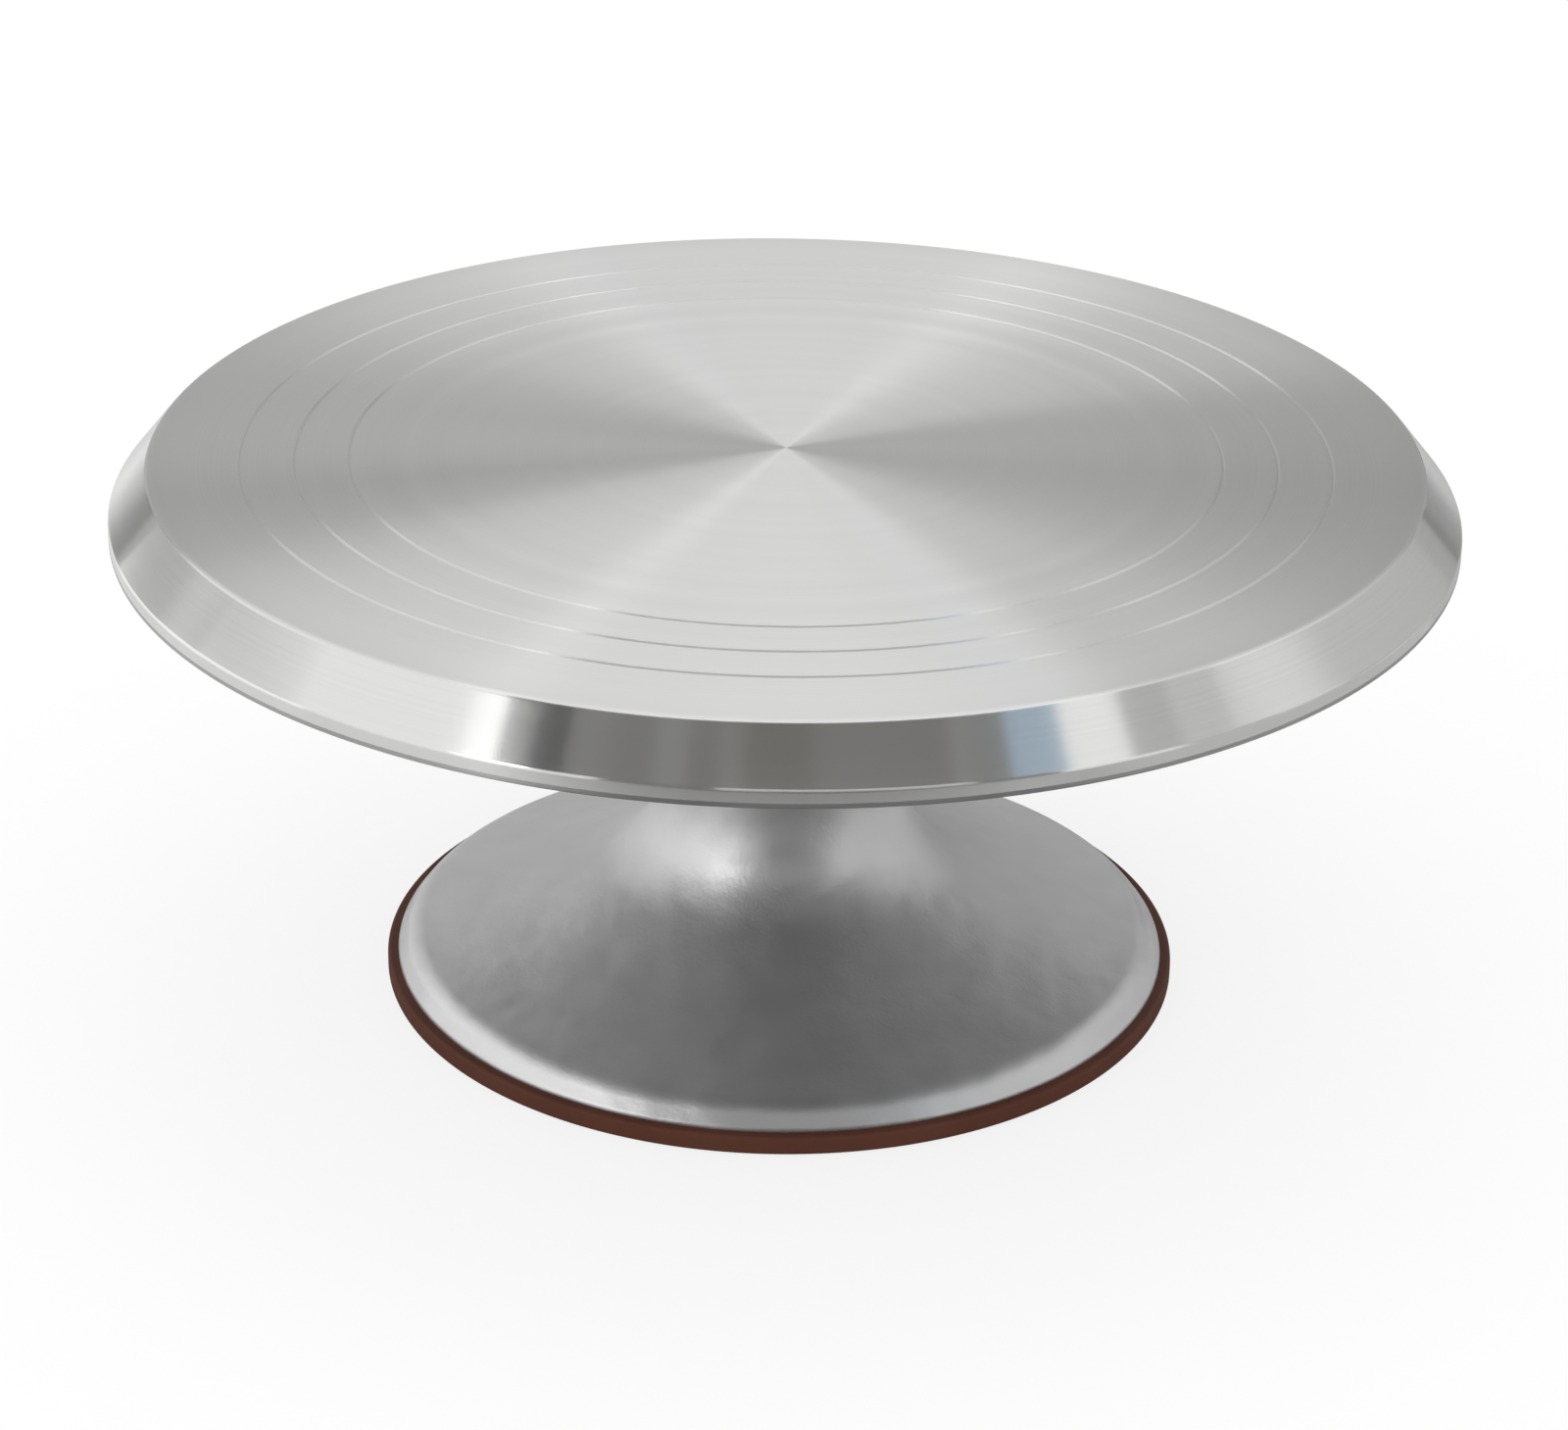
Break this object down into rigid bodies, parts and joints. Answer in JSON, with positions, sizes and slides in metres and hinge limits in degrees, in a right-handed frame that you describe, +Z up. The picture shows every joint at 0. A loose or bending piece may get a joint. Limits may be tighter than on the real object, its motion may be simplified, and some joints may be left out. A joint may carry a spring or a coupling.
{
  "type": "cake turntable",
  "caption": "Round aluminium cake turntable: a bevelled plate with centring grooves that spins on ball bearings in a trumpet pedestal with a rubber foot ring.",
  "frame": {"origin": "centre of the rubber ring's underside, on the surface that the turntable stands on", "axes": "+Z up along the spindle; +X to the right and +Y away from the picture's camera"},
  "size_m": [0.305, 0.305, 0.13],
  "materials": {
    "turned_aluminium": "lathe-turned, fine concentric brushing",
    "cast_aluminium": "satin, fine-grained cast surface",
    "brown_rubber": "matt",
    "black_rubber": "matt",
    "turned_steel": "fine turned",
    "bearing_steel": "ground and polished",
    "zinc_steel": "bright zinc plated",
    "black_steel": "black oxide",
    "cage_nylon": "moulded nylon"
  },
  "bodies": {
    "base": {"pedestal": "cast_aluminium", "foot_ring": "brown_rubber", "dust_seal": "black_rubber", "upper_retaining_ring": "black_steel", "lower_retaining_ring": "black_steel", "upper_bearing_outer_ring": "bearing_steel", "upper_bearing_top_shield": "zinc_steel", "upper_bearing_bottom_shield": "zinc_steel", "lower_bearing_outer_ring": "bearing_steel", "lower_bearing_top_shield": "zinc_steel", "lower_bearing_bottom_shield": "zinc_steel"},
    "turntable": {"turntable_plate": "turned_aluminium", "spindle_flange": "turned_steel", "spindle": "turned_steel", "flange_screws": "black_steel", "flange_lock_washers": "zinc_steel", "upper_bearing_inner_ring": "bearing_steel", "bearing_spacer": "turned_steel", "lower_bearing_inner_ring": "bearing_steel", "spindle_washer": "zinc_steel", "lock_nut": "zinc_steel"},
    "upper_ball_set": {"upper_bearing_balls": "bearing_steel", "upper_bearing_cage": "cage_nylon"},
    "lower_ball_set": {"lower_bearing_balls": "bearing_steel", "lower_bearing_cage": "cage_nylon"}
  },
  "joints": [
    {"name": "plate_spin", "type": "hinge", "parent": "base", "child": "turntable", "pos_m": [0, 0, 0.0703], "axis": [0, 0, 1], "continuous": true},
    {"name": "upper_cage_turn", "type": "hinge", "parent": "base", "child": "upper_ball_set", "pos_m": [0, 0, 0.09575], "axis": [0, 0, 1], "continuous": true},
    {"name": "lower_cage_turn", "type": "hinge", "parent": "base", "child": "lower_ball_set", "pos_m": [0, 0, 0.05575], "axis": [0, 0, 1], "continuous": true}
  ],
  "couplings": [
    {"joint": "upper_cage_turn", "follows": "plate_spin", "ratio": 0.3809},
    {"joint": "lower_cage_turn", "follows": "plate_spin", "ratio": 0.3809}
  ]
}
